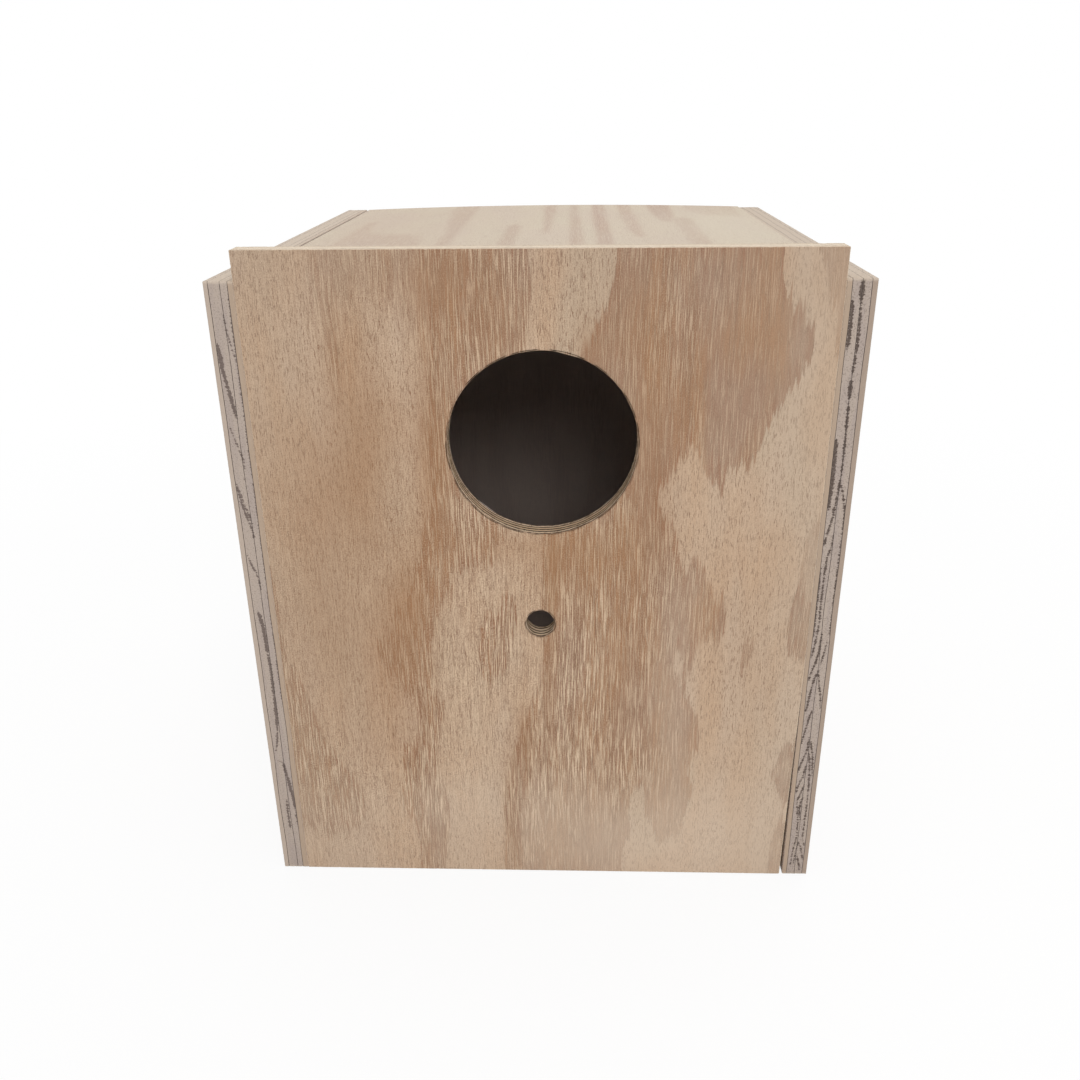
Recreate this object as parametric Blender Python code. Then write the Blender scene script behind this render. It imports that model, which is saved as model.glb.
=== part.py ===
"""A plywood bird nest box with a round entrance and a lid that turns on two butt hinges.

Metres, +Z up. The entrance faces -Y, and the origin lies under the middle of the floor.
"""

import math

import bmesh
import bpy
from mathutils import Matrix, Vector

for old in list(bpy.data.objects):
    bpy.data.objects.remove(old, do_unlink=True)

# Sheets and fits. The front is cut from the thinner sheet
ply = 0.012
front_ply = 0.0095
fit_gap = 0.0003
edge_ease = 0.0003
cut_overrun = 0.002
sharp_angle = math.radians(30)

# Box
front_width = 0.240
side_height = 0.294
side_depth = 0.282
front_rise = 0.012
foot_gap = 0.0012
foot_gap_height = 0.114

# Holes in the front
entrance_diameter = 0.080
entrance_drop = 0.0799
entrance_offset = 0.0015
entrance_sides = 96
perch_hole_diameter = 0.013
perch_hole_drop = 0.164
perch_hole_sides = 32

# Lid
lid_gap_left = 0.0013
lid_gap_right = 0.0006
lid_gap_front = 0.001
lid_crown = 0.0019
lid_right_lift = 0.0005
lid_strips = 12

# Cleats under the lid
cleat_width = 0.012
cleat_height = 0.018

# Wire nails of the box and the shorter ones of the cleats
nail_length = 0.030
cleat_nail_length = 0.020
nail_shank_diameter = 0.0016
nail_head_diameter = 0.0032
nail_head_thickness = 0.0008
nail_point_length = 0.002
nail_set = 0.0003
nail_sides = 8
corner_nail_count = 4
corner_nail_margin = 0.030
floor_nail_count = 3
floor_nail_margin = 0.045
cleat_nail_count = 2
cleat_nail_margin = 0.045

# Butt hinges
hinge_length = 0.038
hinge_inset = 0.035
leaf_width = 0.0105
leaf_thickness = 0.0012
leaf_lip = 0.0001
barrel_diameter = 0.004
knuckle_count = 5
knuckle_gap = 0.0003
hinge_pin_diameter = 0.002
hinge_pin_clearance = 0.00015
hinge_pin_head_diameter = 0.003
hinge_pin_head_thickness = 0.0005
hinge_sides = 16

# Countersunk screws of the hinges
leaf_screw_count = 2
screw_spacing = 0.024
screw_reach = 0.0064
screw_length = 0.010
screw_shank_diameter = 0.0022
screw_head_diameter = 0.0044
screw_head_height = 0.0012
screw_rim = 0.0002
screw_point_length = 0.0025
screw_sides = 12

# The width of a nail's or a screw's point, as a share of its shank
point_share = 0.15

# Places that follow from the sizes
front_height = side_height + front_rise
half_width = front_width / 2
front_y = -side_depth / 2
back_y = side_depth / 2
inner_front_y = front_y + front_ply + fit_gap
inner_back_y = back_y - ply - fit_gap
side_inner_x = half_width + fit_gap
side_outer_x = side_inner_x + ply
back_height = side_height - ply - fit_gap
cleat_inner_x = half_width - cleat_width
plate_far = barrel_diameter / 2 + leaf_lip
plate_near = plate_far - leaf_thickness
hinge_x = half_width - hinge_inset - hinge_length / 2
hinge_y = back_y + fit_gap + plate_far
hinge_z = back_height + fit_gap / 2


def finish(name, colour, roughness, metallic):
    """A plain material of one colour."""
    material = bpy.data.materials.new(name)
    material.use_nodes = True
    shader = material.node_tree.nodes["Principled BSDF"]
    shader.inputs["Base Color"].default_value = (*colour, 1)
    shader.inputs["Roughness"].default_value = roughness
    shader.inputs["Metallic"].default_value = metallic
    return material


def put(made, place, parent=None):
    """Links an object at its place in the box, whether or not a parent carries it."""
    bpy.context.scene.collection.objects.link(made)
    if parent is not None:
        made.parent = parent
        place = Matrix.Translation(-parent.location) @ place
    made.matrix_basis = place


def surface(name, shape, material):
    """The finished mesh of a shape: smooth where it is round, sharp at its edges."""
    mesh = bpy.data.meshes.new(name)
    shape.to_mesh(mesh)
    shape.free()
    mesh.shade_smooth()
    mesh.set_sharp_from_angle(angle=sharp_angle)
    mesh.materials.append(material)
    return mesh


def piece(name, shape, material, middle=(0, 0, 0), parent=None):
    """An object whose origin is at its middle, from a shape about its own middle."""
    made = bpy.data.objects.new(name, surface(name, shape, material))
    put(made, Matrix.Translation(middle), parent)
    return made


def slab(outline, start, end):
    """An outline of (x, z) points, anticlockwise as seen from the front, drawn out along Y."""
    shape = bmesh.new()
    near = [shape.verts.new((x, start, z)) for x, z in outline]
    far = [shape.verts.new((x, end, z)) for x, z in outline]
    shape.faces.new(near)
    shape.faces.new(reversed(far))
    for i in range(len(outline)):
        shape.faces.new((near[i], near[i - 1], far[i - 1], far[i]))
    return shape


def eased(shape):
    """The shape with its sharp edges broken, as sanding leaves them."""
    sharp = [edge for edge in shape.edges if edge.calc_face_angle() > sharp_angle]
    bmesh.ops.bevel(shape, geom=sharp, offset=edge_ease, segments=1, affect="EDGES")
    return shape


def board(name, low, high, material):
    """A rectangular board between two corners of the box's space."""
    low = Vector(low)
    high = Vector(high)
    x, y, z = (high - low) / 2
    outline = [(-x, -z), (x, -z), (x, z), (-x, z)]
    return piece(name, eased(slab(outline, -y, y)), material, (low + high) / 2)


def turned(outline, sides, place=None):
    """A solid turned about its own Z axis from (radius, height) points, foot first."""
    shape = bmesh.new()
    rings = []
    for radius, height in outline:
        turns = [2 * math.pi * i / sides for i in range(sides)]
        points = [(radius * math.cos(turn), radius * math.sin(turn), height) for turn in turns]
        rings.append([shape.verts.new(point) for point in points])
    for lower, upper in zip(rings, rings[1:]):
        for i in range(sides):
            shape.faces.new((lower[i - 1], lower[i], upper[i], upper[i - 1]))
    shape.faces.new(reversed(rings[0]))
    shape.faces.new(rings[-1])
    if place is not None:
        shape.transform(place)
    return shape


def facing(point, direction):
    """The place of a turned shape whose Z axis starts at a point and faces a direction."""
    turn = Vector(direction).to_track_quat("Z", "Y").to_matrix().to_4x4()
    return Matrix.Translation(point) @ turn


def joined(shapes):
    """Several shapes in one."""
    whole = bmesh.new()
    for shape in shapes:
        mesh = bpy.data.meshes.new("shape")
        shape.to_mesh(mesh)
        shape.free()
        whole.from_mesh(mesh)
        bpy.data.meshes.remove(mesh)
    return whole


def combine(made, shapes, operation):
    """Adds shapes that stand in the box's space to a piece, or cuts them out of it."""
    number = len(made.modifiers) + 1
    tool = piece(f"{made.name}_tool_{number}", joined(shapes), made.data.materials[0])
    tool.hide_render = True
    tool.display_type = "WIRE"
    step = made.modifiers.new(f"{operation.title()} {number}", "BOOLEAN")
    step.operation = operation
    step.solver = "EXACT"
    step.object = tool


def drill(made, outline, sides, places):
    """Cuts a hole of one outline at each place."""
    combine(made, [turned(outline, sides, place) for place in places], "DIFFERENCE")


def spread(count, low, high):
    """Evenly spread places from low to high."""
    return [low + (high - low) * i / (count - 1) for i in range(count)]


def nail_outline(length, clearance=0.0, overrun=0.0):
    """A wire nail, head up. With a clearance and an overrun it is the nail's hole."""
    shank = nail_shank_diameter / 2 + clearance
    head = nail_head_diameter / 2 + clearance
    head_foot = -nail_head_thickness - clearance
    return [
        (shank * point_share, -length - clearance),
        (shank, nail_point_length - length),
        (shank, head_foot),
        (head, head_foot),
        (head, overrun),
    ]


def screw_outline(clearance=0.0, overrun=0.0):
    """A countersunk screw, head up. With a clearance and an overrun it is the screw's hole."""
    shank = screw_shank_diameter / 2 + clearance
    head = screw_head_diameter / 2 + clearance
    return [
        (shank * point_share, -screw_length - clearance),
        (shank, screw_point_length - screw_length),
        (shank, -screw_head_height),
        (head, -screw_rim),
        (head, overrun),
    ]


def nail_holes(made, length, places):
    drill(made, nail_outline(length, fit_gap, cut_overrun), nail_sides, places)


def screw_holes(made, places):
    drill(made, screw_outline(fit_gap, cut_overrun), screw_sides, places)


def side_nail_places(side):
    """Where the nails go through one side, by the board that they hold."""
    x = side * (side_outer_x - nail_set)
    outward = (side, 0, 0)
    on_front = spread(corner_nail_count, corner_nail_margin, side_height - corner_nail_margin)
    on_back = spread(corner_nail_count, corner_nail_margin, back_height - corner_nail_margin)
    on_floor = spread(
        floor_nail_count, inner_front_y + floor_nail_margin, inner_back_y - floor_nail_margin
    )
    return {
        "front": [facing((x, front_y + front_ply / 2, z), outward) for z in on_front],
        "back": [facing((x, back_y - ply / 2, z), outward) for z in on_back],
        "floor": [facing((x, y, ply / 2), outward) for y in on_floor],
    }


def cleat_nail_places(side):
    """Where the short nails go through one cleat into the side behind it."""
    x = side * (cleat_inner_x + nail_set)
    z = back_height - cleat_height / 2
    along = spread(
        cleat_nail_count, inner_front_y + cleat_nail_margin, inner_back_y - cleat_nail_margin
    )
    return [facing((x, y, z), (-side, 0, 0)) for y in along]


def screw_places(side, up):
    """Where the screws go through one leaf of a hinge. The upper leaf is the lid's."""
    middle = side * hinge_x
    along = spread(leaf_screw_count, middle - screw_spacing / 2, middle + screw_spacing / 2)
    return [
        facing((x, hinge_y - plate_near, hinge_z + up * screw_reach), (0, 1, 0)) for x in along
    ]


def make_front(nail_places):
    """The front, which stands above the sides and leaves a thin gap at its right foot."""
    outline = [
        (-half_width, 0),
        (half_width - foot_gap, 0),
        (half_width, foot_gap_height),
        (half_width, front_height),
        (-half_width, front_height),
    ]
    shape = eased(slab(outline, 0, front_ply))
    front = piece("front_panel", shape, plywood_front, (0, front_y, 0))
    for diameter, sides, x, drop in (
        (entrance_diameter, entrance_sides, entrance_offset, entrance_drop),
        (perch_hole_diameter, perch_hole_sides, 0, perch_hole_drop),
    ):
        through = [(diameter / 2, -front_ply - cut_overrun), (diameter / 2, cut_overrun)]
        drill(front, through, sides, [facing((x, front_y, front_height - drop), (0, -1, 0))])
    nail_holes(front, nail_length, nail_places)


def make_side(name, side, nail_places, cleat_places):
    inner, outer = sorted((side * side_inner_x, side * side_outer_x))
    low = (inner, front_y, 0)
    panel = board(f"{name}_side_panel", low, (outer, back_y, side_height), plywood)
    nail_holes(panel, nail_length, nail_places)
    nail_holes(panel, cleat_nail_length, cleat_places)


def make_back(nail_places, leaf_screw_places):
    low = (-half_width, back_y - ply, 0)
    panel = board("back_panel", low, (half_width, back_y, back_height), plywood)
    nail_holes(panel, nail_length, nail_places)
    screw_holes(panel, leaf_screw_places)


def make_floor(nail_places):
    low = (-half_width, inner_front_y, 0)
    panel = board("floor_panel", low, (half_width, inner_back_y, ply), plywood)
    nail_holes(panel, nail_length, nail_places)


def make_cleat(name, side, nail_places):
    inner, outer = sorted((side * cleat_inner_x, side * half_width))
    low = (inner, inner_front_y, back_height - cleat_height)
    cleat = board(f"{name}_lid_cleat", low, (outer, inner_back_y, back_height), plywood)
    nail_holes(cleat, cleat_nail_length, nail_places)


def make_lid(axis, leaf_screw_places):
    """The lid, which has cupped a little, so that its middle and its right edge stand up."""
    left = lid_gap_left - side_inner_x
    right = side_inner_x - lid_gap_right
    under = []
    for share in spread(lid_strips + 1, 0, 1):
        crown = 4 * lid_crown * share * (1 - share)
        under.append((left + (right - left) * share, crown + lid_right_lift * share))
    over = [(x, z + ply) for x, z in reversed(under)]
    start = inner_front_y - fit_gap + lid_gap_front
    shape = eased(slab(under + over, start - back_y, 0))
    lid = piece("lid", shape, plywood_lid, (0, back_y, side_height - ply), axis)
    screw_holes(lid, leaf_screw_places)


def make_leaf(name, side, up, parent):
    """One leaf of a hinge: a plate whose teeth run into its own knuckles of the barrel."""
    own = 0 if up < 0 else 1
    start = -hinge_length / 2
    end = hinge_length / 2
    middle = (side * hinge_x, hinge_y, hinge_z)
    along_axis = facing(middle, (1, 0, 0))
    clear = barrel_diameter / 2 + knuckle_gap
    joints = [start]
    for knuckle in range(1, knuckle_count):
        shrink = knuckle_gap / 2 if knuckle % 2 == own else -knuckle_gap / 2
        joints.append(start + hinge_length * knuckle / knuckle_count + shrink)
    joints.append(end)
    outline = []
    barrels = []
    for knuckle, (low, high) in enumerate(zip(joints, joints[1:])):
        if knuckle % 2 == own:
            outline += [(low, 0), (high, 0)]
            ring = [(barrel_diameter / 2, low), (barrel_diameter / 2, high)]
            barrels.append(turned(ring, hinge_sides, along_axis))
        else:
            outline += [(low, clear), (high, clear)]
    outline += [(end, leaf_width), (start, leaf_width)]
    if up < 0:
        outline = [(x, -z) for x, z in reversed(outline)]
    leaf = piece(name, slab(outline, -plate_far, -plate_near), steel, middle, parent)
    combine(leaf, barrels, "UNION")
    bore = hinge_pin_diameter / 2 + hinge_pin_clearance
    through = [(bore, start - cut_overrun), (bore, end + cut_overrun)]
    drill(leaf, through, hinge_sides, [along_axis])
    screw_holes(leaf, screw_places(side, up))


def make_hinge_pin(name, side):
    """The pin of a hinge, with its riveted ends."""
    shank = hinge_pin_diameter / 2
    head = hinge_pin_head_diameter / 2
    seat = hinge_length / 2 + fit_gap
    end = seat + hinge_pin_head_thickness
    outline = [(head, -end), (head, -seat), (shank, -seat), (shank, seat), (head, seat), (head, end)]
    place = facing((side * hinge_x, hinge_y, hinge_z), (1, 0, 0))
    fasten(name, outline, hinge_sides, [place], steel)


def fasten(name, outline, sides, places, material, parent=None):
    """A run of like turned pieces, each an object of its own on one shared mesh."""
    mesh = surface(name, turned(outline, sides), material)
    for number, place in enumerate(places, start=1):
        full_name = f"{name}_{number}" if len(places) > 1 else name
        put(bpy.data.objects.new(full_name, mesh), place, parent)


plywood_front = finish("plywood_front", (0.456, 0.314, 0.205), 0.75, 0)
plywood_lid = finish("plywood_lid", (0.66, 0.56, 0.44), 0.75, 0)
plywood = finish("plywood", (0.54, 0.44, 0.34), 0.75, 0)
steel = finish("zinc_plated_steel", (0.45, 0.45, 0.46), 0.35, 1)
wire = finish("bright_wire", (0.5, 0.49, 0.47), 0.4, 1)

# The empty on the hinge pins' axis that carries all that turns with the lid
lid_axis = bpy.data.objects.new("lid_axis", None)
put(lid_axis, Matrix.Translation((0, hinge_y, hinge_z)))

front_places = []
back_places = []
floor_places = []
fixed_screw_places = []
lid_screw_places = []
for side_name, side in (("left", -1), ("right", 1)):
    nails = side_nail_places(side)
    short_nails = cleat_nail_places(side)
    front_places += nails["front"]
    back_places += nails["back"]
    floor_places += nails["floor"]
    make_side(side_name, side, nails["front"] + nails["back"] + nails["floor"], short_nails)
    make_cleat(side_name, side, short_nails)
    for joint, places in nails.items():
        fasten(f"{side_name}_{joint}_nail", nail_outline(nail_length), nail_sides, places, wire)
    cleat_nail = nail_outline(cleat_nail_length)
    fasten(f"{side_name}_cleat_nail", cleat_nail, nail_sides, short_nails, wire)
    make_hinge_pin(f"{side_name}_hinge_pin", side)
    for leaf, up, carrier, all_places in (
        ("fixed", -1, None, fixed_screw_places),
        ("lid", 1, lid_axis, lid_screw_places),
    ):
        places = screw_places(side, up)
        all_places += places
        make_leaf(f"{side_name}_hinge_{leaf}_leaf", side, up, carrier)
        fasten(f"{side_name}_{leaf}_screw", screw_outline(), screw_sides, places, steel, carrier)
make_front(front_places)
make_back(back_places, fixed_screw_places)
make_floor(floor_places)
make_lid(lid_axis, lid_screw_places)
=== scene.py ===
import math

import bmesh
import bpy
import numpy as np
from mathutils import Matrix, Vector, geometry, noise


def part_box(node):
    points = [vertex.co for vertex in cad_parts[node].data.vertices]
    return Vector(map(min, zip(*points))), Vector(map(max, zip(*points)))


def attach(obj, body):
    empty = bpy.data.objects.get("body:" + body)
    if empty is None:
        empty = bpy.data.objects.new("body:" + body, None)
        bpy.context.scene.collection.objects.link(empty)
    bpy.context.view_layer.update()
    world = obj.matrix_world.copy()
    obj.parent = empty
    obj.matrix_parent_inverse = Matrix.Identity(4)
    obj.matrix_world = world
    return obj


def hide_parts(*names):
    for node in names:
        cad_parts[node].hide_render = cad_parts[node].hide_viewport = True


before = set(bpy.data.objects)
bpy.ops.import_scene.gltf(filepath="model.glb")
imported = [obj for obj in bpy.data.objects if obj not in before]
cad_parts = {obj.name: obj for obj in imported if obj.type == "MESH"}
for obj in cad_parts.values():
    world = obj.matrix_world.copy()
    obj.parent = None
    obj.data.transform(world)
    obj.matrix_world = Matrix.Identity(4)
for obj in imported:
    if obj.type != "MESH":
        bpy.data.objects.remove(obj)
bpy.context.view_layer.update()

MM = 0.001

# Camera, fitted to the corners, joints and holes that were measured on the photograph
CAMERA_PLACE = (0.0145942, -0.5409619, 0.3581649)
CAMERA_YAW = -0.0361100
CAMERA_PITCH = -0.4123284
CAMERA_ROLL = -0.0108297
FOCAL_SHARE = 1004.9171 / 1080
SENSOR_WIDTH = 36
NEAREST_SEEN = 0.01

# Plywood boards: four veneers, of which the middle two lie across
VENEERS = 4
PLIES = (0, 0.19, 0.5, 0.81, 1)
FRONT_PLIES = (0, 0.26, 0.5, 0.75, 1)
LEFT_PLIES = (0, 0.18, 0.56, 0.81, 1)
RIGHT_PLIES = (0, 0.19, 0.5, 0.83, 1)
EDGE_STEP = 1.0 * MM
RING_STEP = 0.4 * MM
FACE_STEP = (2.5 * MM, 4.0 * MM)
FACE_MARGIN = 1.6 * MM
ARRIS_RADIUS = 0.25 * MM
ARRIS_MARGIN = 0.6 * MM
CHIP_DEPTH = 0.2 * MM
CORNER_CUT = 0.3 * MM
GLUE_WIDTH = 0.36 * MM
GLUE_DEPTH = 0.12 * MM
GLUE_WANDER = 0.5 * MM
LONG_GRAIN_ROUGHNESS = 0.05 * MM
END_GRAIN_ROUGHNESS = 0.18 * MM
END_GRAIN_ABOVE = 0.8
JOINT_SWELL = 0.26 * MM
FRONT_SEED = 3.0
LID_SEED = 83.0
# A rounded arris: its depth and inset, as shares of its radius, and its ply value
ARRIS_PROFILE = ((0.0, 1.0, 0.002), (0.3, 0.3, 0.032), (1.0, 0.0, 0.102))
# How far a veneer's own ply values stay from the whole numbers, where the glue is
PLY_EDGE = 0.12
# How strongly the walls of the entrance and of the perch hole are painted paler: painted light, which
# stands in for the light that the shaded walls of the holes lack
BORED_PAINTED_LIGHT = (1.0, 0.45)
# Values well outside any brown zone and any dark line, and how much a step along the grain counts
NO_ZONE = -50.0
NO_LINE = -9.0
ALONG_SHARE = 1 / 5

# A nail's crushed pit: radius and depth
PIT_RINGS = ((1.0 * MM, 0.5 * MM), (1.64 * MM, 0.5 * MM), (1.8 * MM, 0.06 * MM), (2.7 * MM, 0.0))
PIT_SIDES = 16

# Holes in the front, from its top and its middle
ENTRANCE_DIAMETER = 80 * MM
ENTRANCE_DROP = 79.9 * MM
ENTRANCE_OFFSET = 1.5 * MM
PERCH_HOLE_DIAMETER = 13 * MM
PERCH_HOLE_DROP = 164 * MM
FOOT_GAP = 1.2 * MM
FOOT_GAP_HEIGHT = 114 * MM

# Lid, which has cupped a little
LID_CROWN = 1.9 * MM
LID_RIGHT_LIFT = 0.5 * MM

# Hinges, whose leaves are rolled round their pins
BARREL_RADIUS = 2.0 * MM
BORE_RADIUS = 1.15 * MM
LEAF_FAR = 2.1 * MM
LEAF_NEAR = 0.9 * MM
LEAF_CORNER = 1.6 * MM
LEAF_BEVEL = 0.12 * MM
ROLL_START = 1.6 * MM
ROLL_TURN = math.radians(290)
ROLL_STEPS = 26
KNUCKLES = 5
KNUCKLE_GAP = 0.3 * MM
KNUCKLE_CLEAR = BARREL_RADIUS + KNUCKLE_GAP
CORNER_STEPS = 6
LEAF_CREASE = math.radians(35)
OVERRUN = 1.0 * MM
COUNTERSINK_RADIUS = 2.4 * MM
SCREW_HOLE_RADIUS = 1.3 * MM
CUTTER_SIDES = 32
# The countersink of a screw hole: radius and place through the leaf
COUNTERSINK = (
    (SCREW_HOLE_RADIUS, -LEAF_FAR - OVERRUN),
    (SCREW_HOLE_RADIUS, -LEAF_NEAR - (COUNTERSINK_RADIUS - SCREW_HOLE_RADIUS)),
    (COUNTERSINK_RADIUS + OVERRUN, -LEAF_NEAR + OVERRUN),
)

# Nails, pins and screws
NAIL_SIDES = 20
PIN_SIDES = 24
SCREW_SIDES = 28
TURNED_CREASE = math.radians(30)
MERGE_DISTANCE = 0.005 * MM
# Keeps a whole number of rows from being rounded down to the row before
ROUNDING = 0.001
# The seed of how far each nail and screw is turned about itself
TURN_SEED = 7


def linear(red, green, blue):
    """A colour as a shader takes it, from its 0 to 255 values as a screen shows it."""
    shares = [channel / 255 for channel in (red, green, blue)]
    return (*[s / 12.92 if s <= 0.04045 else ((s + 0.055) / 1.055) ** 2.4 for s in shares], 1)


def enabled(sockets, key):
    """The socket of that number, or the one of that name which the node's settings leave in use."""
    if isinstance(key, int):
        return sockets[key]
    return next(socket for socket in sockets if socket.enabled and socket.name == key)


class Value:
    """What a socket gives. Sums, differences and products of values add Math nodes."""

    def __init__(self, tree, socket):
        self.tree = tree
        self.socket = socket

    def math(self, operation, first, second=0.0):
        return self.tree.node("ShaderNodeMath", {"operation": operation}, {0: first, 1: second})

    def out(self, name):
        """Another output of the node that this value comes from."""
        return Value(self.tree, enabled(self.socket.node.outputs, name))

    def __add__(self, other):
        return self.math("ADD", self, other)

    def __radd__(self, other):
        return self.math("ADD", other, self)

    def __sub__(self, other):
        return self.math("SUBTRACT", self, other)

    def __rsub__(self, other):
        return self.math("SUBTRACT", other, self)

    def __mul__(self, other):
        return self.math("MULTIPLY", self, other)

    def __rmul__(self, other):
        return self.math("MULTIPLY", other, self)

    def __truediv__(self, other):
        return self.math("DIVIDE", self, other)

    def __mod__(self, other):
        return self.math("FLOORED_MODULO", self, other)

    def floor(self):
        return self.math("FLOOR", self)

    def sine(self):
        return self.math("SINE", self)

    def cosine(self):
        return self.math("COSINE", self)

    def least(self, other):
        return self.math("MINIMUM", self, other)

    def most(self, other):
        return self.math("MAXIMUM", self, other)

    def step(self, low, high):
        """0 below low and 1 above high, with a soft rise between."""
        return self.tree.node(
            "ShaderNodeMapRange",
            {"interpolation_type": "SMOOTHSTEP"},
            {"Value": self, "From Min": low, "From Max": high},
        )


class Tree:
    """A node tree, to which each call of node adds one node and its links."""

    def __init__(self, tree):
        self.tree = tree

    def node(self, kind, settings=None, sockets=None):
        made = self.tree.nodes.new(kind)
        for name, value in (settings or {}).items():
            setattr(made, name, value)
        return self.link(made, sockets or {})

    def choice(self, index, values):
        """The value of that number."""
        made = self.tree.nodes.new("GeometryNodeIndexSwitch")
        made.data_type = "FLOAT"
        for _ in range(len(values) - len(made.index_switch_items)):
            made.index_switch_items.new()
        sockets = {str(number): value for number, value in enumerate(values)}
        return self.link(made, {"Index": index} | sockets)

    def link(self, made, sockets):
        for key, value in sockets.items():
            socket = enabled(made.inputs, key)
            for one in value if isinstance(value, list) else [value]:
                if isinstance(one, Value):
                    self.tree.links.new(one.socket, socket)
                else:
                    socket.default_value = one
        outputs = [socket for socket in made.outputs if socket.enabled]
        return Value(self, outputs[0]) if outputs else made


class Finish(Tree):
    """A material, with the textures that the finishes of this box share."""

    def __init__(self, name):
        self.material = bpy.data.materials.new(name)
        self.material.use_nodes = True
        super().__init__(self.material.node_tree)
        self.tree.nodes.clear()
        place = self.node("ShaderNodeTexCoord").out("Object")
        self.millimetres = self.node(
            "ShaderNodeVectorMath", {"operation": "SCALE"}, {0: place, "Scale": 1 / MM}
        )

    def attribute(self, name):
        return self.node("ShaderNodeAttribute", {"attribute_name": name}).out("Fac")

    def noise(self, vector, scale, seed=0.0, detail=2.0, roughness=0.5):
        """Noise from 0 to 1, about 0.5, at so many waves to the millimetre along each axis."""
        mapped = self.node(
            "ShaderNodeMapping",
            None,
            {"Vector": vector, "Location": (seed, 1.7 * seed, -seed), "Scale": scale},
        )
        settings = {"Vector": mapped, "Scale": 1.0, "Detail": detail, "Roughness": roughness}
        return self.node("ShaderNodeTexNoise", None, settings)

    def mix(self, share, first, second):
        return self.node(
            "ShaderNodeMix", {"data_type": "RGBA"}, {"Factor": share, "A": first, "B": second}
        )

    def shade(self, colour, roughness, height, depth, strength=1.0, **constants):
        """Ends the material in its shader, with a bump as deep as depth for a height of 1."""
        bump = self.node(
            "ShaderNodeBump", None, {"Strength": strength, "Distance": depth, "Height": height}
        )
        sockets = {"Base Color": colour, "Roughness": roughness, "Normal": bump}
        shader = self.node("ShaderNodeBsdfPrincipled", None, sockets | constants)
        self.node("ShaderNodeOutputMaterial", None, {"Surface": shader})
        return self.material


# Plywood: each texture's waves to the millimetre across, along and through the grain, its seed and,
# where they aren't the usual ones, its detail and roughness
TEXTURES = {
    "drift": ((0.03, 0.008, 0.03), 0),
    "ripple": ((0.12, 0.04, 0.12), 3),
    "cloud": ((0.05, 0.012, 0.05), 5),
    "stain": ((0.022, 0.008, 0.022), 6),
    "streak": ((0.3, 0.012, 0.3), 7, 3.0),
    "vein": ((3.2, 0.07, 3.2), 11),
    "thread": ((3.5, 0.085, 3.5), 13),
    "strand": ((0.9, 0.03, 0.9), 15),
    "fleck": ((3.6, 0.36, 3.6), 17, 1.0),
    "teeth": ((0.45, 0.02, 0.45), 19, 3.0, 0.65),
    "dust": ((2.9, 1.6, 2.9), 21, 1.0),
    "blur": ((0.03, 0.02, 0.03), 23),
    "nicks": ((1.3, 0.06, 1.3), 25),
    "grit": ((1.7, 0.25, 1.7), 31),
    "saw": ((1.4, 1.4, 0.35), 33, 1.0),
    "patch": ((0.035, 0.035, 0.4), 37, 1.0),
    "dashes": ((0.5, 0.5, 0.5), 41, 1.0),
    "loudness": ((0.02, 0.012, 0.02), 43),
}
# How far the grain wanders, and how far the edges of the figure are jagged, in mm
DRIFT = 6.0
RIPPLE = 0.7
TEETH = 5.0
NICKS = 3.2
GRAIN_DEPTH = 0.12 * MM
BRUSH_DEPTH = 0.01 * MM


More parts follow.
